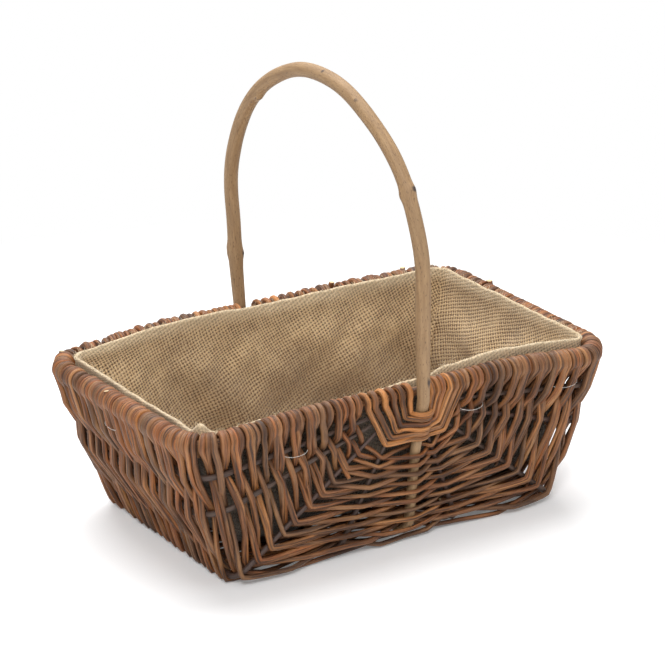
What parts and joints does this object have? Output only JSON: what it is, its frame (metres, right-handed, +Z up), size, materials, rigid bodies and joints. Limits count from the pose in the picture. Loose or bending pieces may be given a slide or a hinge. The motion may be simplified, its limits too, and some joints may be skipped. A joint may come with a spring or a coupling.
{
  "type": "trug garden basket",
  "caption": "Oblong rib basket of woven willow rods with a tall fixed hoop handle over its middle and a coarse fabric liner inside.",
  "frame": {"origin": "under the middle of the base, on the surface that the basket stands on", "axes": "+X along the length to the right, +Y to the back, +Z up; the handle crosses over along Y"},
  "size_m": [0.4298, 0.2894, 0.3908],
  "materials": {
    "handle_stick": "peeled stick, dry and unvarnished",
    "rim_stick": "bark on",
    "rib_stick": "bark on, grey to purple brown",
    "willow_rod": "brown willow, bark on, slight sheen",
    "liner_fabric": "coarse open hessian"
  },
  "bodies": {
    "root": {"handle_hoop": "handle_stick", "rim_hoop": "rim_stick", "liner": "liner_fabric", "lashing_front": "willow_rod", "lashing_back": "willow_rod", "rib_left_1": "rib_stick", "rib_left_2": "rib_stick", "rib_left_3": "rib_stick", "rib_left_4": "rib_stick", "rib_right_1": "rib_stick", "rib_right_2": "rib_stick", "rib_right_3": "rib_stick", "rib_right_4": "rib_stick", "weavers_1": "willow_rod", "weavers_2": "willow_rod", "weavers_3": "willow_rod", "weavers_4": "willow_rod", "weavers_5": "willow_rod", "weavers_6": "willow_rod", "weavers_7": "willow_rod", "weavers_8": "willow_rod", "weavers_9": "willow_rod", "weavers_10": "willow_rod", "weavers_11": "willow_rod", "weavers_12": "willow_rod", "weavers_13": "willow_rod", "weavers_14": "willow_rod", "weavers_15": "willow_rod"}
  },
  "joints": []
}
